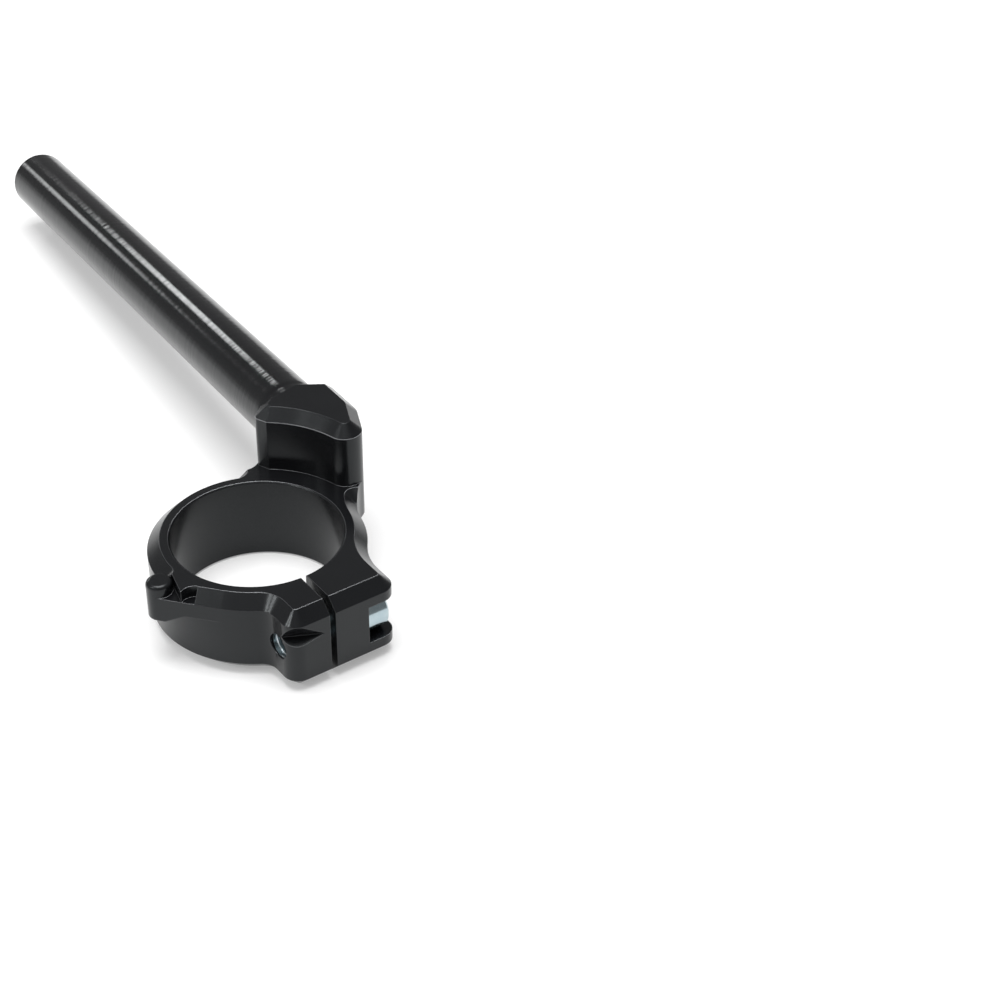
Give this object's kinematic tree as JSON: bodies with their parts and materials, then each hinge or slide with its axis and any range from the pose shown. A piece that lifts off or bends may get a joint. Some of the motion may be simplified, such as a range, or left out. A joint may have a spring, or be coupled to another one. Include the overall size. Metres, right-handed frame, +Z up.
{
  "type": "clip-on handlebar riser",
  "caption": "Split fork clamp with a raised block that carries a straight handlebar tube, tightened by one socket head bolt across its ears.",
  "frame": {"origin": "on the fork tube's axis at the clamp ring's mid height", "axes": "+Z up along the fork tube's axis, -Y toward the clamp's ears and split, +Y roughly along the handlebar"},
  "size_m": [0.1081, 0.3177, 0.0494],
  "materials": {
    "black_anodised": "black anodised, satin",
    "black_tube": "black anodised, glossy, finely turned",
    "zinc_steel": "bright zinc plated"
  },
  "bodies": {
    "root": {"clamp": "black_anodised", "handlebar": "black_tube", "clamp_bolt": "zinc_steel"}
  },
  "joints": []
}
